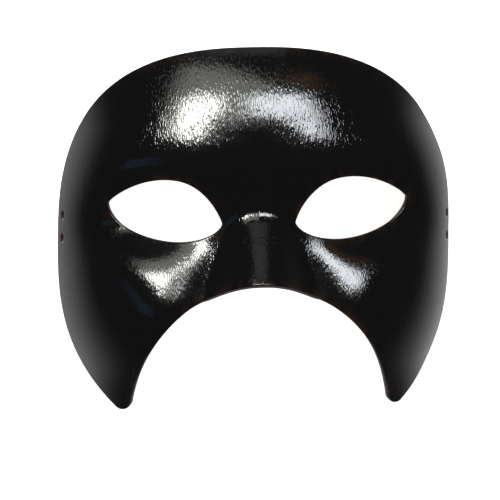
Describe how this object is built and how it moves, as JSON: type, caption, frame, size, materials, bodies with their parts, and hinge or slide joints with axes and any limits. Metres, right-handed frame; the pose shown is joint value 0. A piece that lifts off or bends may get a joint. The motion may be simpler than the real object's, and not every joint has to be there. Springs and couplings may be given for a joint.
{
  "type": "half mask",
  "caption": "Moulded leather half mask covering brow and cheeks, with almond eye holes, a short nose open below and punched tie holes at the sides.",
  "frame": {"origin": "centre of the bounding box in X and Y, on the resting plane under the side rims", "axes": "+X across the face, to the right of someone who looks at its outside; +Y towards the forehead; +Z out of the face, upwards as the mask lies on its side rims"},
  "size_m": [0.1578, 0.1406, 0.0567],
  "materials": {
    "black_leather": "glossy black leather, fine grain, moulded and polished"
  },
  "bodies": {
    "root": {"mask_shell": "black_leather"}
  },
  "joints": []
}
